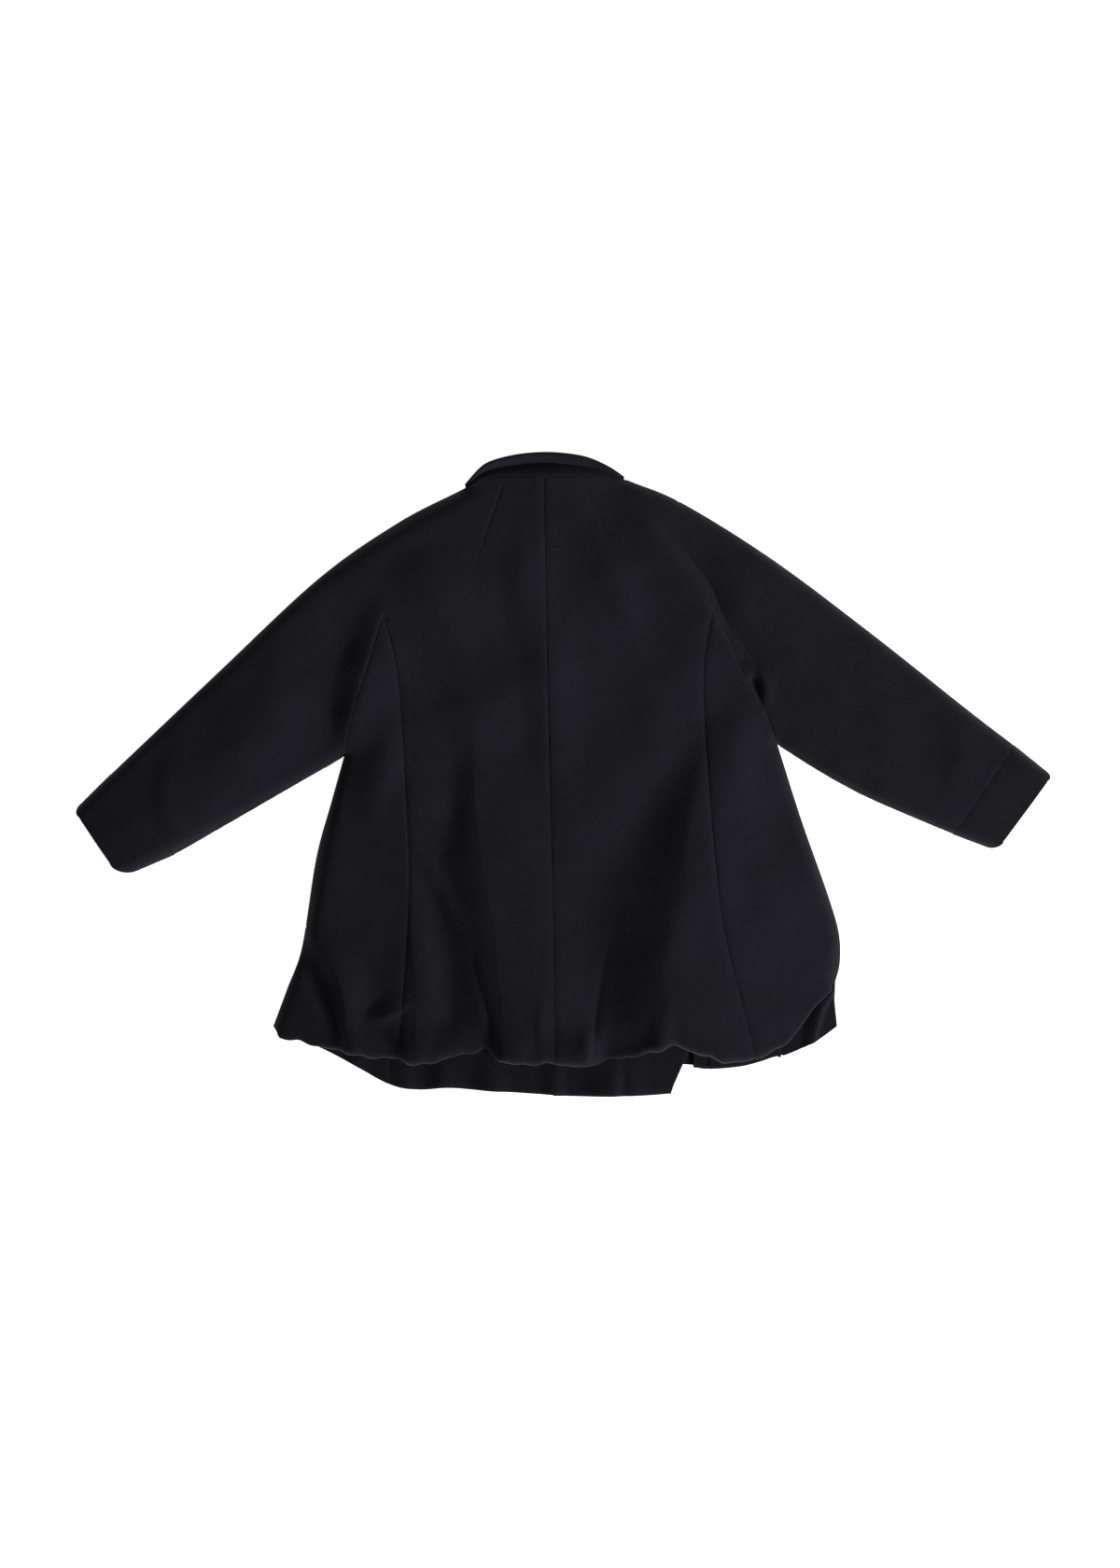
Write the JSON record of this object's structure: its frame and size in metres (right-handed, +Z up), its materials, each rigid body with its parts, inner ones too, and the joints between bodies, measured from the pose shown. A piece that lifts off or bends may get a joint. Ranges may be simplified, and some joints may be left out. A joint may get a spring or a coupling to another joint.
{
  "type": "child's balloon coat",
  "caption": "Child's wool balloon coat with kimono sleeves, turned cuffs, a small rolled collar and a bubble hem, laid flat on its front with the back up.",
  "frame": {"origin": "middle of the laid coat's outline, on the surface that it lies on", "axes": "+X across the coat, towards the sleeve that is on the right when the coat is seen from above with its collar at the top; +Y from the hem to the collar; +Z up, out of the back"},
  "size_m": [0.8994, 0.5896, 0.0326],
  "materials": {
    "navy_wool": "felted dark navy wool coating, matt with a short nap"
  },
  "bodies": {
    "root": {"back_left": "navy_wool", "back_right": "navy_wool", "side_back_left": "navy_wool", "side_back_right": "navy_wool", "side_front_left": "navy_wool", "side_front_right": "navy_wool", "front_left": "navy_wool", "front_right": "navy_wool", "facing_left": "navy_wool", "cuff_left": "navy_wool", "cuff_right": "navy_wool", "collar": "navy_wool", "collar_front_left": "navy_wool", "collar_front_right": "navy_wool"}
  },
  "joints": []
}
